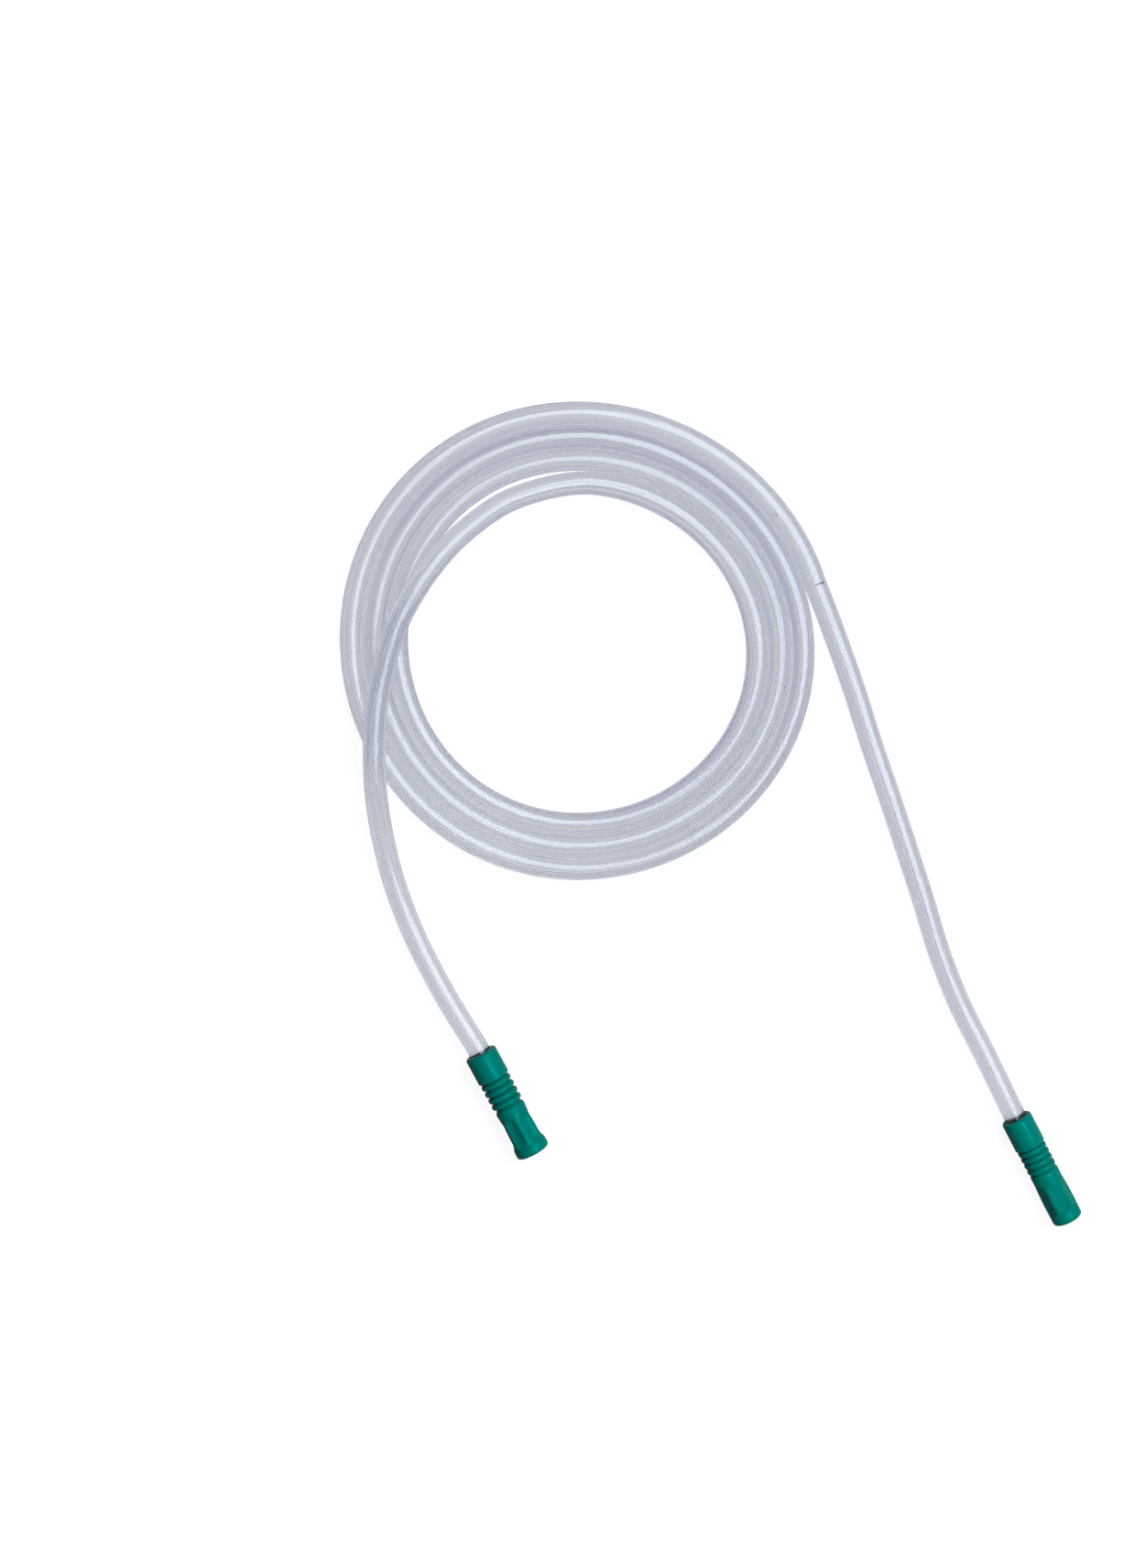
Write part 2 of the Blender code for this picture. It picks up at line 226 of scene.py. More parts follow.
def smooth_line(
    points: list[Vector], spacing: float, before: Vector, after: Vector
) -> list[Vector]:
    """Read points off a smooth curve through the given points.

    Args:
        points: The points that the curve passes.
        spacing: About how far apart the new points are.
        before: The neighbour that the curve comes from.
        after: The neighbour that the curve runs on to.

    Returns:
        The new points, both ends among them.
    """
    chain = [before, *points, after]
    result = []
    for index in range(1, len(chain) - 2):
        p0, p1, p2, p3 = chain[index - 1:index + 3]
        steps = max(1, round((p2 - p1).length / spacing))
        for step in range(steps):
            t = step / steps
            along = 2 * p1 + (p2 - p0) * t
            bend = (2 * p0 - 5 * p1 + 4 * p2 - p3) * t ** 2
            twist = (3 * p1 - p0 - 3 * p2 + p3) * t ** 3
            result.append((along + bend + twist) / 2)
    result.append(chain[-2].copy())
    return result


@dataclass(frozen=True)
class Blemish:
    """A small dark mark on the tube: its place, half sizes and turn about +Z."""

    place: Point3
    half: Point3
    turn: float


@dataclass(frozen=True)
class ClearPvc:
    """Clear soft PVC with painted shade lines along the tube, which stand in for the dark lines
    that its lumen ribs refract, and a few dark marks.
    """

    color: Color = (0.955, 0.967, 0.99, 1.0)
    # Colour of the painted shade lines that copy the lumen ribs' refraction lines
    shade_line_color: Color = (0.45, 0.44, 0.64, 1.0)
    mark_color: Color = (0.03, 0.03, 0.035, 1.0)
    roughness: float = 0.14
    transmission: float = 1.0
    refraction: float = 1.50
    line_count: float = 70.0
    line_length: float = 4.0
    line_detail: float = 2.0
    line_level: float = 0.56
    line_contrast: float = 9.0
    marks: tuple[Blemish, ...] = ()

    def material(self) -> bpy.types.Material:
        """Build the material.

        Returns:
            The material.
        """
        material, shader = new_material("clear_pvc")
        shader.inputs["Roughness"].default_value = self.roughness
        shader.inputs["Transmission Weight"].default_value = self.transmission
        shader.inputs["IOR"].default_value = self.refraction
        # Painted shade lines along the tube first, then the real dark marks over them
        color = self.painted_shade_lines(material)
        for mark in self.marks:
            color = mix_color(material, self.mark_mask(material, mark), color, self.mark_color)
        fill(material, shader.inputs["Base Color"], color)
        return material

    def painted_shade_lines(self, material: bpy.types.Material) -> bpy.types.NodeSocket:
        """Painted shade lines: noise stretched along the tube, from its own UV map, standing in
        for the dark lines that the lumen ribs refract.

        Args:
            material: The material whose tree takes the nodes.

        Returns:
            The colour with its painted shade lines.
        """
        place = node(material, "ShaderNodeUVMap").outputs["UV"]
        stretch = node(
            material, "ShaderNodeMapping", Vector=place,
            Scale=(self.line_count, self.line_length, 1.0),
        ).outputs["Vector"]
        noise = node(
            material, "ShaderNodeTexNoise", Vector=stretch, Scale=1.0, Detail=self.line_detail
        ).outputs["Fac"]
        share = math_node(material, "SUBTRACT", noise, self.line_level)
        share = math_node(material, "MULTIPLY", share, self.line_contrast, clamp=True)
        return mix_color(material, share, self.color, self.shade_line_color)

    def mark_mask(
        self, material: bpy.types.Material, mark: Blemish
    ) -> bpy.types.NodeSocket:
        """Where one dark mark lies.

        Args:
            material: The material whose tree takes the nodes.
            mark: The mark.

        Returns:
            1 inside the mark and 0 outside it.
        """
        place = node(material, "ShaderNodeTexCoord").outputs["Object"]
        shifted = vector_node(material, "SUBTRACT", place, mark.place).outputs["Vector"]
        turned = node(
            material, "ShaderNodeMapping", Vector=shifted, Rotation=(0.0, 0.0, -mark.turn)
        ).outputs["Vector"]
        scaled = vector_node(material, "DIVIDE", turned, mark.half).outputs["Vector"]
        reach = vector_node(material, "LENGTH", scaled).outputs["Value"]
        return math_node(material, "LESS_THAN", reach, 1.0)


@dataclass(frozen=True)
class GreenPvc:
    """Soft moulded PVC: satin, with faint cloudiness and a fine skin."""

    name: str
    color: Color = (0.0, 0.175, 0.146, 1.0)
    deep_color: Color = (0.0, 0.158, 0.130, 1.0)
    sheen_color: Color = (0.0, 1.0, 0.88, 1.0)
    specular: float = 0.075
    roughness: float = 0.22
    rough_spread: float = 0.06
    grain_scale: float = 2600.0
    grain_detail: float = 2.0
    cloud_scale: float = 260.0
    cloud_detail: float = 3.0
    bump: float = 0.06
    bump_depth: float = 0.0002

    def material(self) -> bpy.types.Material:
        """Build the material.

        Returns:
            The material.
        """
        material, shader = new_material(self.name)
        place = node(material, "ShaderNodeTexCoord").outputs["Object"]
        cloud, grain = (
            node(
                material, "ShaderNodeTexNoise", Vector=place, Scale=scale, Detail=detail
            ).outputs["Fac"]
            for scale, detail in (
                (self.cloud_scale, self.cloud_detail), (self.grain_scale, self.grain_detail),
            )
        )
        color = mix_color(material, cloud, self.deep_color, self.color)
        spread = math_node(material, "MULTIPLY", grain, self.rough_spread)
        rough = math_node(material, "ADD", spread, self.roughness - self.rough_spread / 2)
        skin = node(
            material, "ShaderNodeBump", Strength=self.bump, Distance=self.bump_depth,
            Height=grain,
        ).outputs["Normal"]
        for name, value in (("Base Color", color), ("Roughness", rough), ("Normal", skin)):
            fill(material, shader.inputs[name], value)
        shader.inputs["Specular Tint"].default_value = self.sheen_color
        shader.inputs["Specular IOR Level"].default_value = self.specular
        return material


@dataclass(frozen=True)
class Route:
    """The line that the tube follows: a tail, a spiral coil and a tail that crosses it.

    Angles are in degrees. Each row of a tail has X, Y and the share of one strand by which
    the tube is lifted there.
    """

    tube_od: float = TUBE_OD
    center: Point2 = (0.0091, 0.0927)
    radius: float = 0.08808
    oval: float = 0.0010
    oval_angle: float = -52.0
    lobe: float = 0.00048
    lobe_angle: float = -26.5
    turn_gap: float = 0.0001
    start_angle: int = -12
    end_angle: int = 1140
    coarse_step: int = 12
    fine_step: int = 2
    spacing: float = 0.0035
    climb_start: float = 1125.0
    climb_end: float = 1222.0
    straight_run: float = 0.0035
    straight_tail: tuple[Point3, ...] = (
        (0.0721, -0.1112, 0.07),
        (0.0724, -0.0903, 0.01),
        (0.0745, -0.0694, 0.00),
        (0.0782, -0.0487, 0.00),
        (0.0815, -0.0283, 0.00),
        (0.0847, -0.0078, 0.00),
        (0.0876, 0.0123, 0.00),
        (0.0910, 0.0326, 0.00),
        (0.0937, 0.0526, 0.00),
    )
    flared_tail: tuple[Point3, ...] = (
        (0.0156, 0.1526, 0.40),
        (-0.0036, 0.1518, 0.63),
        (-0.0231, 0.1460, 0.88),
        (-0.0444, 0.1337, 1.00),
        (-0.0611, 0.1168, 1.00),
        (-0.0717, 0.1018, 1.03),
        (-0.0811, 0.0840, 0.91),
        (-0.0880, 0.0663, 0.42),
        (-0.0932, 0.0465, 0.12),
        (-0.0958, 0.0260, 0.03),
        (-0.0962, 0.0054, 0.12),
        (-0.0956, -0.0086, 0.20),
    )

    def height(self, share: float) -> float:
        """Height of the tube's axis where it is lifted by a share of one strand."""
        return self.tube_od / 2 + share * (self.tube_od + self.turn_gap)

    def coil_point(self, angle: float) -> Vector:
        """Point on the spiral, which is slightly oval and three-lobed.

        Args:
            angle: The angle along the spiral, in degrees from +X.

        Returns:
            The point, lifted where the inner end climbs over the coil.
        """
        turn = math.radians(angle)
        radius = self.radius - (self.tube_od + self.turn_gap) * angle / 360
        radius += self.oval * math.cos(2 * (turn - math.radians(self.oval_angle)))
        radius += self.lobe * math.cos(3 * (turn - math.radians(self.lobe_angle)))
        climb = (angle - self.climb_start) / (self.climb_end - self.climb_start)
        x = self.center[0] + radius * math.cos(turn)
        y = self.center[1] + radius * math.sin(turn)
        return Vector((x, y, self.height(eased(climb))))

    def tail(self, rows: tuple[Point3, ...]) -> list[Vector]:
        """The points of one tail, lifted as its rows say."""
        return [Vector((x, y, self.height(share))) for x, y, share in rows]

    def points(self, first: "Connector", last: "Connector") -> list[Vector]:
        """The whole line, from the seat in one connector to the seat in the other.

        Args:
            first: The connector on the tail of the outermost turn.
            last: The connector on the tail that crosses the coil.

        Returns:
            Points close enough together to look smooth.
        """
        run = Vector((0.0, self.straight_run, 0.0))
        angles = range(self.start_angle, self.end_angle + 1, self.fine_step)
        coil = [self.coil_point(angle) for angle in angles]
        rim, seat = first.rim_point(), first.seat_point()
        tail = [rim, rim + run, *self.tail(self.straight_tail), coil[0]]
        after = self.coil_point(self.start_angle + self.coarse_step)
        start = smooth_line(tail, self.spacing, seat, after)
        last_rim, last_seat = last.rim_point(), last.seat_point()
        last_tail = [coil[-1], *self.tail(self.flared_tail), last_rim + run, last_rim]
        before = self.coil_point(self.end_angle - 2 * self.coarse_step)
        end = smooth_line(last_tail, self.spacing, before, last_seat)
        return [seat, *start[:-1], *coil[:-1], *end, last_seat]


@dataclass(frozen=True)
class Web:
    """A bit of moulding flash that fills one groove at one angle, in degrees from +Z."""

    groove: int
    angle: float


@dataclass
class Connector:
    """A moulded funnel connector: tube socket, ring ribs, finger grip and mouth.

    It lies along Y, with its mouth towards -Y. Places along it are counted from the rim,
    where the tube comes out, and angles round it are in degrees from +Z.
    """

    name: str
    grip: GripStyle
    x: float
    rim_y: float
    axis_z: float
    length: float
    barrel_radius: float
    barrel_length: float
    rib_pitch: float
    rib_groove: float
    rib_drop: float
    rib_depth: float
    shoulder_radius: float
    shoulder_length: float
    shoulder_run: float
    grip_radius: float
    grip_width: float
    grip_depth: float
    grip_angle: float
    end_radius: float
    end_length: float
    mouth_wall: float
    webs: tuple[Web, ...]
    # Fluted grip only
    waist_radius: float = 0.0
    grip_overrun: float = 0.0
    collar_start: float = 0.0012
    collar_full: float = 0.0026
    collar_ease: float = 0.00015
    fade_share: float = 0.25
    fade_limit: float = 1.5
    grip_blend: float = 0.00012
    # Panelled grip only
    end_land: float = 0.0
    end_groove: float = 0.0
    panel_edge: float = 0.0003
    # Both grips
    rib_count: int = 4
    grip_count: int = 6
    mouth_round: float = 0.0011
    rim_round: float = 0.0010
    rim_chamfer: float = 0.0003
    neck_wall: float = 0.0016
    socket_floor: float = 0.0009
    seat_gap: float = 0.0003
    lip_gap: float = 0.00002
    lip_length: float = 0.0008
    edge_ease: float = 0.0001
    rib_squareness: float = 0.85
    groove_cut: float = 0.0005
    web_half: float = 0.00045
    web_height: float = 0.55
    tube_od: float = TUBE_OD
    # Mesh
    sides: int = 240
    line_spacing: float = 0.00024
    arc_steps: int = 10
    sharp_angle: float = 50.0

    def rim_point(self) -> Vector:
        """The middle of the rim, where the tube comes out."""
        return Vector((self.x, self.rim_y, self.axis_z))

    def seat_point(self) -> Vector:
        """Where the tube's end is seated in the socket."""
        depth = self.barrel_length - self.socket_floor - self.seat_gap
        return self.rim_point() - Vector((0.0, depth, 0.0))

    def ribs_end(self) -> float:
        """Distance from the rim to the end of the last groove."""
        return self.barrel_length + self.rib_count * self.rib_pitch + self.rib_groove

    def groove_radius(self) -> float:
        """Radius at the foot of the ribs."""
        return self.barrel_radius - self.rib_drop - self.rib_depth

    def grip_span(self) -> Point2:
        """Where the finger grip starts and ends, from the rim."""
        start = self.ribs_end() + self.shoulder_length
        return start, self.length - self.end_length - self.end_land + self.grip_overrun

    def arc(
        self, center: Point2, radius: float, start: float, end: float
    ) -> list[Point2]:
        """Part of a circle in the profile; angle 0 points to the mouth.

        Args:
            center: Distance from the rim and radius of its middle.
            radius: Its own radius.
            start: First angle in degrees.
            end: Last angle in degrees.

        Returns:
            The arc's points.
        """
        points = []
        for step in range(self.arc_steps + 1):
            angle = math.radians(start + (end - start) * step / self.arc_steps)
            x = center[0] + radius * math.cos(angle)
            points.append((x, center[1] + radius * math.sin(angle)))
        return points

    def barrel_line(self) -> list[Point2]:
        """Outer line of the tube socket, round at the rim and at the first groove.

        Returns:
            The line's points.
        """
        rim, edge = self.rim_round, self.rim_round / 2
        line = self.arc((rim, self.barrel_radius - rim), rim, 180, 90)
        return line + self.arc(
            (self.barrel_length - edge, self.barrel_radius - edge), edge, 90, 0
        )

    def rib_line(self) -> list[Point2]:
        """Outer line of the ring ribs, each a rounded crest after its groove.

        Returns:
            The line's points.
        """
        half = (self.rib_pitch - self.rib_groove) / 2
        base = self.groove_radius()
        crest = self.arc((0.0, 0.0), 1.0, 180, 0)
        line = []
        for index in range(self.rib_count):
            middle = self.barrel_length + self.rib_groove + half + index * self.rib_pitch
            line.append((middle - half - self.rib_groove / 2, base - self.groove_cut))
            line += [
                (
                    middle + half * math.copysign(abs(t) ** self.rib_squareness, t),
                    base + self.rib_depth * max(0.0, r) ** self.rib_squareness,
                )
                for t, r in crest
            ]
        line.append((self.ribs_end() - self.rib_groove / 2, base - self.groove_cut))
        line.append((self.ribs_end(), base))
        return line

    def grip_line(self) -> list[Point2]:
        """Outer line from the shoulder to the start of the mouth.

        Returns:
            The line's points, read off a smooth curve.
        """
        start, end = self.grip_span()
        end -= self.grip_overrun
        middle = (start + end) / 2
        shoulder = self.ribs_end() + self.shoulder_run
        rows = [
            (shoulder, self.shoulder_radius - self.edge_ease),
            (shoulder + self.rim_round, self.shoulder_radius),
        ]
        if self.grip is GripStyle.FLUTES:
            rows += [
                (start, self.waist_radius),
                (middle, self.grip_radius - self.edge_ease),
                (end, self.grip_radius),
                (end + self.collar_start, self.end_radius - self.collar_ease),
                (end + self.collar_full, self.end_radius),
            ]
        else:
            mouth = self.length - self.end_length
            rows += [
                (start, self.shoulder_radius),
                (middle, self.grip_radius),
                (end, self.grip_radius),
                (mouth, self.end_radius - self.end_groove),
                (mouth + self.end_land, self.end_radius),
            ]
        line = [Vector((t, r, 0.0)) for t, r in rows]
        before = 2 * line[0] - line[1]
        after = 2 * line[-1] - line[-2]
        line = smooth_line(line, self.line_spacing, before, after)
        return [(point.x, point.y) for point in line]

    def bore_line(self) -> list[Point2]:
        """Inner line from the mouth to the rim: funnel, neck, stop and socket.

        Returns:
            The line's points.
        """
        neck = self.groove_radius() - self.neck_wall
        mouth = self.end_radius - self.mouth_wall
        socket = self.tube_od / 2 + self.seat_gap
        lip = self.tube_od / 2 + self.lip_gap
        stop = self.barrel_length - self.socket_floor
        return [
            (self.length, mouth + self.rim_chamfer),
            (self.length - self.rim_chamfer / 3, mouth + self.rim_chamfer / 3),
            (self.length - self.rim_chamfer, mouth),
            (self.ribs_end(), neck),
            (stop, neck),
            (stop, socket),
            (self.lip_length + self.rim_chamfer, socket),
            (self.lip_length, lip),
            (self.rim_chamfer, lip),
            (self.rim_chamfer / 3, lip + self.rim_chamfer / 3),
            (0.0, lip + self.rim_chamfer),
        ]

    def profile(self) -> list[Point2]:
        """The closed line that the connector is turned from.

        Returns:
            The line's points, from the rim along the outside and back through the bore.
        """
        edge = self.mouth_round
        mouth = self.arc((self.length - edge, self.end_radius - edge), edge, 90, 0)
        outside = self.barrel_line() + self.rib_line() + self.grip_line() + mouth
        return outside + self.bore_line()

    def pressed(self, t: float, radius: float, angle: float) -> float:
        """Radius of the outer skin once the finger grips are pressed in.

        Args:
            t: Distance from the rim.
            radius: Radius before the grips.
            angle: Angle round the axis, in radians from +Z towards +X.

        Returns:
            The new radius.
        """
        pitch = 2 * math.pi / self.grip_count
        local = (angle - math.radians(self.grip_angle) + pitch / 2) % pitch - pitch / 2
        if self.grip is GripStyle.FLUTES:
            return self.fluted(t, radius, local)
        return self.panelled(t, radius, local)

    def fluted(self, t: float, radius: float, local: float) -> float:
        """Radius with a hollow scoop that fades in and ends in a U near the mouth.

        Args:
            t: Distance from the rim.
            radius: Radius before the scoop.
            local: Angle from the scoop's middle, in radians.

        Returns:
            The new radius.
        """
        start, end = self.grip_span()
        half = self.grip_width / 2
        side_drop = self.grip_radius - math.sqrt(self.grip_radius ** 2 - half ** 2)
        floor = self.grip_depth - side_drop
        scoop = (half ** 2 + floor ** 2) / (2 * floor)
        fade_end = start + (end - start) * self.fade_share
        u_start = end - half
        past = max((fade_end - t) / (fade_end - start), (t - u_start) / (end - u_start), 0.0)
        depth = self.grip_depth * (1 - min(past, self.fade_limit) ** 2)
        middle = radius - depth + scoop
        reach = scoop ** 2 - (middle * math.sin(local)) ** 2
        if reach <= 0:
            return radius
        return soft_least(radius, middle * math.cos(local) - math.sqrt(reach), self.grip_blend)

    def panelled(self, t: float, radius: float, local: float) -> float:
        """Radius with a flat rectangular panel.

        Args:
            t: Distance from the rim.
            radius: Radius before the panel.
            local: Angle from the panel's middle, in radians.

        Returns:
            The new radius.
        """
        start, end = self.grip_span()
        across = abs(radius * math.sin(local))
        along = abs(t - (start + end) / 2)
        inside = min(self.grip_width / 2 - across, (end - start) / 2 - along)
        floor = (self.grip_radius - self.grip_depth) / math.cos(local)
        return radius + (min(radius, floor) - radius) * eased(0.5 + inside / self.panel_edge)

    def webbed(self, t: float, radius: float, angle: float) -> float:
        """Radius with the bits of flash that fill a groove here and there.

        Args:
            t: Distance from the rim.
            radius: Radius before the flash.
            angle: Angle round the axis, in radians from +Z towards +X.

        Returns:
            The new radius.
        """
        crest = self.barrel_radius - self.rib_drop - self.edge_ease
        for web in self.webs:
            middle = self.barrel_length + self.rib_groove / 2 + web.groove * self.rib_pitch
            if abs(t - middle) > self.rib_pitch / 2:
                continue
            across = abs(angle - math.radians(web.angle)) * radius
            share = min(1.0, max(0.0, 2 - 2 * across / self.web_half))
            radius += max(0.0, crest - radius) * self.web_height * share
        return radius

    def build(self, finish: bpy.types.Material) -> bpy.types.Object:
        """Turn the connector, press its grips and put it on the CAD node's place.

        Args:
            finish: The material.

        Returns:
            The finished piece.
        """
        work = bmesh.new()
        ring = [work.verts.new((0.0, -t, r)) for t, r in self.profile()]
        edges = [work.edges.new((a, b)) for a, b in zip(ring, ring[1:] + ring[:1])]
        bmesh.ops.spin(
            work, geom=ring + edges, cent=(0, 0, 0), axis=(0, 1, 0), dvec=(0, 0, 0),
            angle=2 * math.pi, steps=self.sides, use_merge=True, use_duplicate=False,
        )
        start, end = self.grip_span()
        skin = self.groove_radius() - self.edge_ease
        for vert in work.verts:
            radius = math.hypot(vert.co.x, vert.co.z)
            t = -vert.co.y
            angle = math.atan2(vert.co.x, vert.co.z)
            if radius < skin or t > end:
                continue
            if t > start:
                scale = self.pressed(t, radius, angle) / radius
            else:
                scale = self.webbed(t, radius, angle) / radius
            vert.co.x *= scale
            vert.co.z *= scale
        bmesh.ops.translate(work, verts=work.verts, vec=self.rim_point())
        bmesh.ops.recalc_face_normals(work, faces=work.faces)
        piece = new_piece(work, self.name + "_skin", finish)
        shade_soft(piece, self.sharp_angle)
        LOG.info("%s: %d faces", piece.name, len(piece.data.polygons))
        return piece


def straight_connector() -> Connector:
    """The slim connector, with flat panels and a plain mouth.

    Returns:
        The connector's sizes.
    """
    return Connector(
        name="straight_connector", grip=GripStyle.PANELS,
        x=0.07145, rim_y=-0.13895, axis_z=0.00585, length=0.0441,
        barrel_radius=0.00585, barrel_length=0.01205,
        rib_pitch=0.00254, rib_groove=0.0006, rib_drop=0.00022, rib_depth=0.0008,
        shoulder_radius=0.00555, shoulder_length=0.0050, shoulder_run=0.0005,
        grip_radius=0.0058, grip_width=0.0043, grip_depth=0.0007, grip_angle=3.0,
        end_radius=0.00578, end_length=0.0046, end_land=0.0004, end_groove=0.00022,
        mouth_wall=0.00175, webs=(Web(0, 12.0), Web(1, 14.0), Web(2, 12.0)),
    )


def flared_connector() -> Connector:
    """The waisted connector, with scooped flutes and a collar at the mouth.

    Returns:
        The connector's sizes.
    """
    return Connector(
        name="flared_connector", grip=GripStyle.FLUTES,
        x=-0.0947, rim_y=-0.02335, axis_z=0.0065, length=0.0429,
        barrel_radius=0.00615, barrel_length=0.0110,
        rib_pitch=0.00275, rib_groove=0.0007, rib_drop=0.00015, rib_depth=0.0010,
        shoulder_radius=0.00582, shoulder_length=0.0040, shoulder_run=0.0010,
        waist_radius=0.00568, grip_radius=0.0061, grip_width=0.0046, grip_depth=0.0009,
        grip_angle=37.6, grip_overrun=0.0011, end_radius=0.0065, end_length=0.0050,
        mouth_wall=0.00205, webs=(Web(1, 11.0), Web(2, 12.0)),
    )


@dataclass
class ClearTube:
    """The extruded tube: round outside, star-shaped lumen, open at both ends."""

    route: Route
    od: float = TUBE_OD
    lumen_radius: float = 0.00285
    rib_height: float = 0.00050
    rib_sharpness: float = 1.5
    rib_count: int = 22
    rib_points: int = 3
    outer_points: int = 44
    merge_distance: float = 1e-7
    sharp_angle: float = 60.0
    mark_height: float = 0.0080
    mark_reach: float = 0.0030
    tick_place: Point2 = (0.0976, 0.0735)
    tick_half: Point2 = (0.0022, 0.00022)
    tick_turn: float = -10.0
    speck_half: Point2 = (0.00030, 0.00024)
    speck_places: tuple[Point2, ...] = (
        (-0.0304, 0.1648),
        (0.0686, 0.0455),
        (0.0948, 0.1032),
        (0.0268, 0.1730),
        (-0.0520, 0.0802),
    )

    def mark(self, place: Point2, half: Point2, turn: float = 0.0) -> Blemish:
        """One mark near the top of a strand, turned by an angle in degrees."""
        place_3d, half_3d = (*place, self.mark_height), (*half, self.mark_reach)
        return Blemish(place_3d, half_3d, math.radians(turn))

    def marks(self) -> tuple[Blemish, ...]:
        """The dark tick across the tube and the specks on it."""
        tick = self.mark(self.tick_place, self.tick_half, self.tick_turn)
        return (tick, *(self.mark(place, self.speck_half) for place in self.speck_places))

    def outer_ring(self) -> list[Point2]:
        """Section of the outside: across and up."""
        turns = [2 * math.pi * i / self.outer_points for i in range(self.outer_points)]
        return [(self.od / 2 * math.cos(a), self.od / 2 * math.sin(a)) for a in turns]

    def lumen_ring(self) -> list[Point2]:
        """Section of the lumen, with its small inward ribs.

        Returns:
            The section's points: across and up.
        """
        count = self.rib_count * self.rib_points
        ring = []
        for index in range(count):
            angle = 2 * math.pi * index / count
            wave = (1 + math.cos(self.rib_count * angle)) / 2
            radius = self.lumen_radius - self.rib_height * wave ** self.rib_sharpness
            ring.append((radius * math.cos(angle), radius * math.sin(angle)))
        return ring

    def stations(self, points: list[Vector]) -> list[Matrix]:
        """Where the section stands at each point, square to the route and upright.

        Args:
            points: The route.

        Returns:
            One matrix for each point: across, up and along in its columns.
        """
        frames = []
        for index, point in enumerate(points):
            before = points[max(0, index - 1)]
            after = points[min(len(points) - 1, index + 1)]
            along = (after - before).normalized()
            across = along.cross(Vector((0.0, 0.0, 1.0))).normalized()
            up = across.cross(along)
            rotation = Matrix((across, up, along)).transposed()
            frames.append(Matrix.Translation(point) @ rotation.to_4x4())
        return frames

    def sleeve(
        self, work: bmesh.types.BMesh, section: list[Point2], frames: list[Matrix]
    ) -> None:
        """Wrap a grid round the route, so that every row of it is one section.

        Args:
            work: The mesh that takes the sleeve.
            section: The closed section, across and up.
            frames: Where the section stands.
        """
        columns, rows, half = len(section), len(frames) - 1, 0.5
        grid = bmesh.ops.create_grid(
            work, x_segments=columns, y_segments=rows, size=half, calc_uvs=True
        )
        for vert in grid["verts"]:
            column = round((vert.co.x + half) * columns) % columns
            row = round((vert.co.y + half) * rows)
            x, y = section[column]
            vert.co = frames[row] @ Vector((x, y, 0.0))

    def build(self, points: list[Vector], finish: bpy.types.Material) -> bpy.types.Object:
        """Wrap the outside and the lumen round the route and join them at the cut ends.

        Args:
            points: The route.
            finish: The material.

        Returns:
            The finished piece.
        """
        work = bmesh.new()
        work.loops.layers.uv.new("UVMap")
        frames = self.stations(points)
        for section in (self.outer_ring(), self.lumen_ring()):
            self.sleeve(work, section, frames)
        bmesh.ops.remove_doubles(work, verts=work.verts, dist=self.merge_distance)
        for end in (points[0], points[-1]):
            rim = [
                edge
                for edge in work.edges
                if edge.is_boundary and (edge.verts[0].co - end).length < self.od
            ]
            bmesh.ops.bridge_loops(work, edges=rim)
        bmesh.ops.recalc_face_normals(work, faces=work.faces)
        piece = new_piece(work, "clear_tube", finish)
        shade_soft(piece, self.sharp_angle)
        LOG.info("%s: %d sections, %d faces", piece.name, len(frames), len(piece.data.polygons))
        return piece


@dataclass(frozen=True)
class RayLevels:
    """How bright the floor or the room looks to each kind of ray."""

    camera: float
    transmission: float
    glossy: float
    other: float

    def strength(self, owner: bpy.types.ID) -> bpy.types.NodeSocket:
        """Choose the level by the kind of ray.

        Args:
            owner: The material or world whose tree takes the nodes.

        Returns:
            The level.
        """
        path = node(owner, "ShaderNodeLightPath")
        level: object = self.other
        for ray, value in (
            ("Is Glossy Ray", self.glossy),
            ("Is Transmission Ray", self.transmission),
            ("Is Camera Ray", self.camera),
        ):
            step = math_node(owner, "SUBTRACT", value, level)
            gain = math_node(owner, "MULTIPLY", path.outputs[ray], step)
            level = math_node(owner, "ADD", level, gain)
        return level


@dataclass(frozen=True)
class Softbox:
    """A soft light: its place, width and length, power in watts and what it does."""

    name: str
    place: Point3
    size: Point2
    power: float
    color: Point3 = (1.0, 1.0, 1.0)
    shades: bool = True
    reflects: bool = True


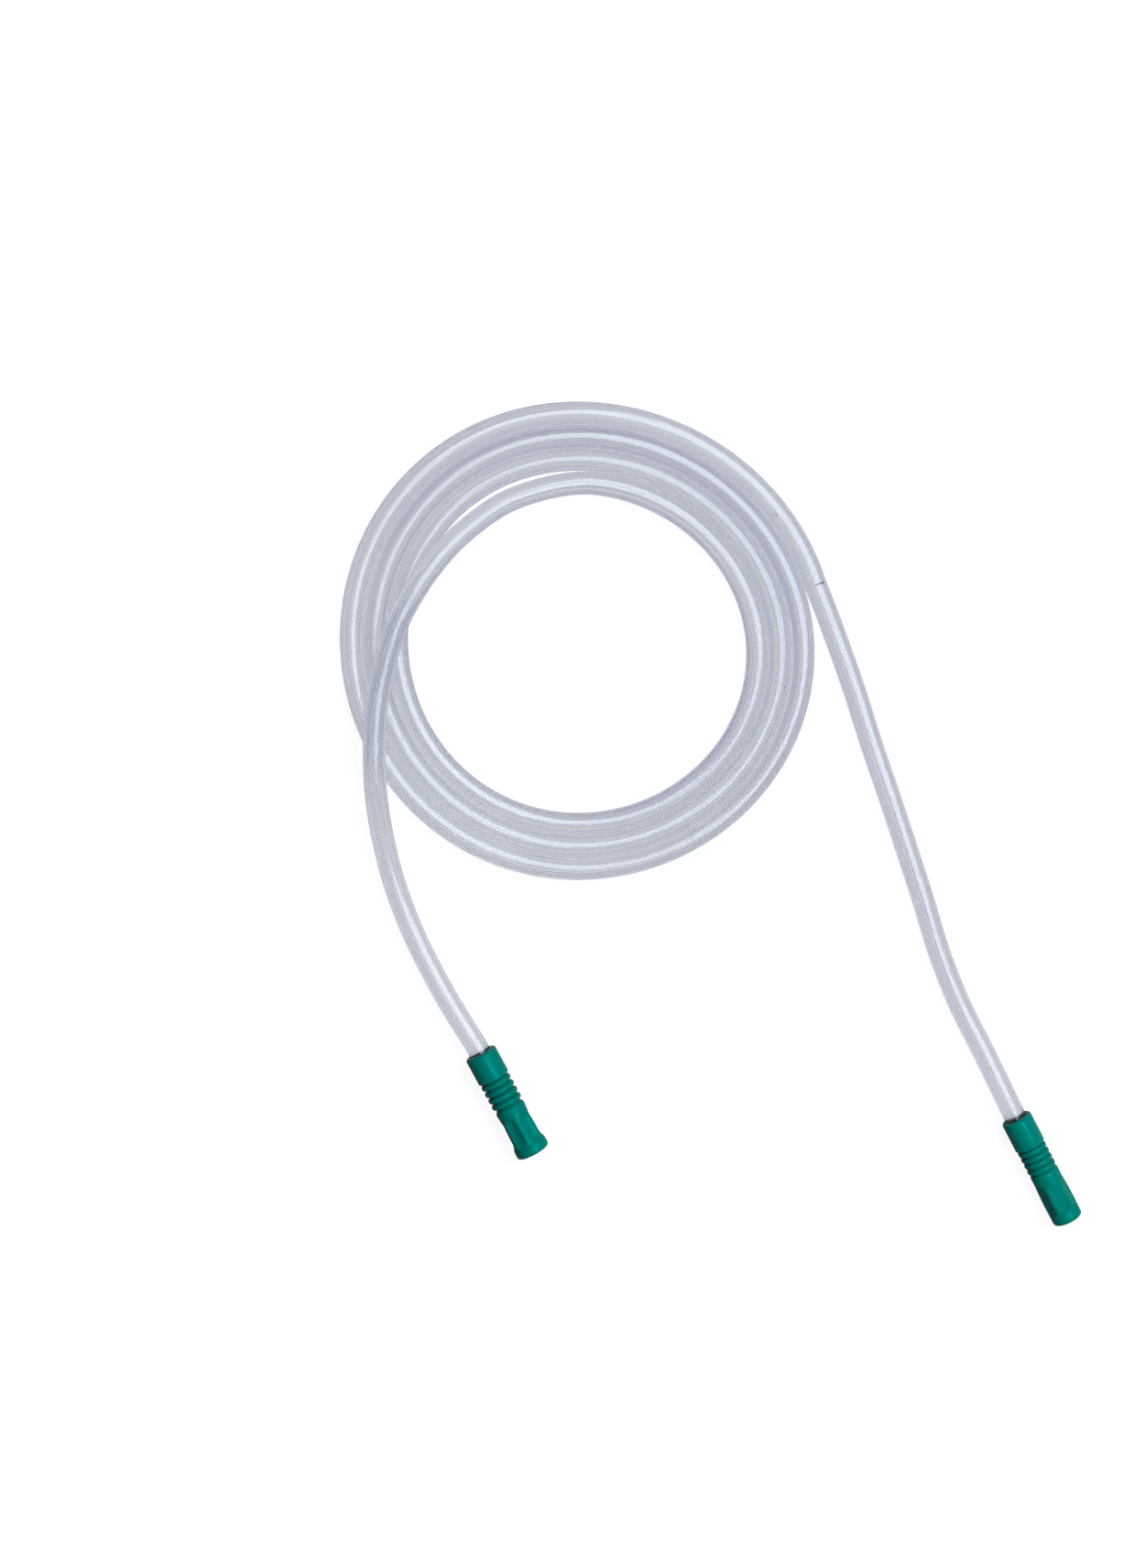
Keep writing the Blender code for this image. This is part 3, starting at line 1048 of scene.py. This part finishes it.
@dataclass(frozen=True)
class Studio:
    """Pale floor, soft light and the camera over the tube."""

    view_center: Point3 = (-0.0172, 0.0499, 0.00415)
    view_turn: float = -27.71
    view_tilt: float = 7.0
    view_distance: float = 1.0
    pixels_per_metre: float = 2950.0
    image_height: float = 1712.0
    sensor: float = 36.0
    nearest: float = 0.05
    bounces: int = 32
    floor_size: float = 6.0
    floor_color: Color = (0.3, 0.3, 0.3, 1.0)
    floor_roughness: float = 0.9
    glow_color: Color = (0.975, 0.985, 1.0, 1.0)
    room_color: Color = (0.96, 0.98, 1.0, 1.0)
    floor_glow: RayLevels = RayLevels(camera=0.94, transmission=0.615, glossy=0.30, other=0.0)
    room_light: RayLevels = RayLevels(camera=1.0, transmission=0.92, glossy=0.38, other=0.085)
    key: Softbox = Softbox("key", (0.66, 0.26, 0.88), (0.8, 0.8), 7.6, reflects=False)
    band: Softbox = Softbox(
        "band", (0.46, 0.14, 1.02), (1.2, 1.2), 29.0, color=(0.80, 0.91, 1.0), shades=False
    )
    strip: Softbox = Softbox("strip", (0.48, -0.33, 1.00), (0.12, 0.6), 7.6)

    def camera(self) -> None:
        """Stand the camera over the tube, leaning a little towards the coil."""
        data = bpy.data.cameras.new("camera")
        data.sensor_fit = "VERTICAL"
        data.sensor_height = self.sensor
        view_height = self.image_height / self.pixels_per_metre
        data.lens = self.sensor * self.view_distance / view_height
        data.clip_start = self.nearest
        camera = bpy.data.objects.new("camera", data)
        bpy.context.collection.objects.link(camera)
        turn = Matrix.Rotation(math.radians(self.view_turn), 4, "Z")
        tilt = Matrix.Rotation(math.radians(-self.view_tilt), 4, "X")
        back = Matrix.Translation((0.0, 0.0, self.view_distance))
        camera.matrix_world = Matrix.Translation(self.view_center) @ turn @ tilt @ back
        bpy.context.scene.camera = camera

    def hang(self, box: Softbox) -> bpy.types.Object:
        """Hang one soft light that faces the tube and doesn't show through clear pieces.

        Args:
            box: The light's values.

        Returns:
            The light.
        """
        data = bpy.data.lights.new(box.name, "AREA")
        data.shape = "RECTANGLE"
        data.size, data.size_y = box.size
        data.energy = box.power
        data.color = box.color
        lamp = bpy.data.objects.new(box.name, data)
        lamp.visible_transmission = False
        lamp.visible_diffuse = box.shades
        lamp.visible_glossy = box.reflects
        bpy.context.collection.objects.link(lamp)
        facing = (Vector(self.view_center) - Vector(box.place)).to_track_quat("-Z", "Y")
        lamp.matrix_world = Matrix.Translation(box.place) @ facing.to_matrix().to_4x4()
        return lamp

    def keep_for(self, lamp: bpy.types.Object, pieces: tuple[bpy.types.Object, ...]) -> None:
        """Let one light reach some pieces alone.

        Args:
            lamp: The light.
            pieces: The pieces.
        """
        lit = bpy.data.collections.new(lamp.name + "_lit")
        for piece in pieces:
            lit.objects.link(piece)
        lamp.light_linking.receiver_collection = lit

    def floor(self) -> None:
        """Lay the pale floor, which shows white and keeps the tube's shadow."""
        material, shader = new_material("studio_white")
        for name, value in (
            ("Base Color", self.floor_color),
            ("Roughness", self.floor_roughness),
            ("Specular IOR Level", 0.0),
            ("Emission Color", self.glow_color),
            ("Emission Strength", self.floor_glow.strength(material)),
        ):
            fill(material, shader.inputs[name], value)
        work = bmesh.new()
        bmesh.ops.create_grid(work, x_segments=1, y_segments=1, size=self.floor_size / 2)
        new_piece(work, "floor", material)

    def world(self) -> None:
        """Give the room an even white light."""
        world = bpy.data.worlds.new("studio")
        world.use_nodes = True
        background = world.node_tree.nodes["Background"]
        fill(world, background.inputs["Color"], self.room_color)
        fill(world, background.inputs["Strength"], self.room_light.strength(world))
        bpy.context.scene.world = world

    def build(self) -> bpy.types.Object:
        """Set up the whole studio.

        Returns:
            The strip light, which is later kept for the green pieces.
        """
        self.camera()
        self.world()
        self.floor()
        strip = [self.hang(box) for box in (self.key, self.band, self.strip)][-1]
        scene = bpy.context.scene
        scene.view_settings.view_transform = "Standard"
        scene.cycles.max_bounces = self.bounces
        scene.cycles.transmission_bounces = self.bounces
        scene.cycles.glossy_bounces = self.bounces
        return strip


def main() -> None:
    """Build the pieces and put each in its node's place."""
    logging.basicConfig(level=logging.INFO, format="%(name)s: %(message)s")
    studio = Studio()
    strip = studio.build()
    straight, flared = straight_connector(), flared_connector()
    tube = ClearTube(route=Route())
    points = tube.route.points(straight, flared)
    clear = tube.build(points, ClearPvc(marks=tube.marks()).material())
    green_straight = straight.build(GreenPvc(name="green_pvc_straight").material())
    green_flared = flared.build(GreenPvc(name="green_pvc_flared").material())
    studio.keep_for(strip, (green_straight, green_flared))

    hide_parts("tube")
    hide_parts("flared_connector")
    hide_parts("straight_connector")
    for piece in (clear, green_flared, green_straight):
        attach(piece, "root")
    tuple(straight.rim_point())


if __name__ == "__main__":
    main()
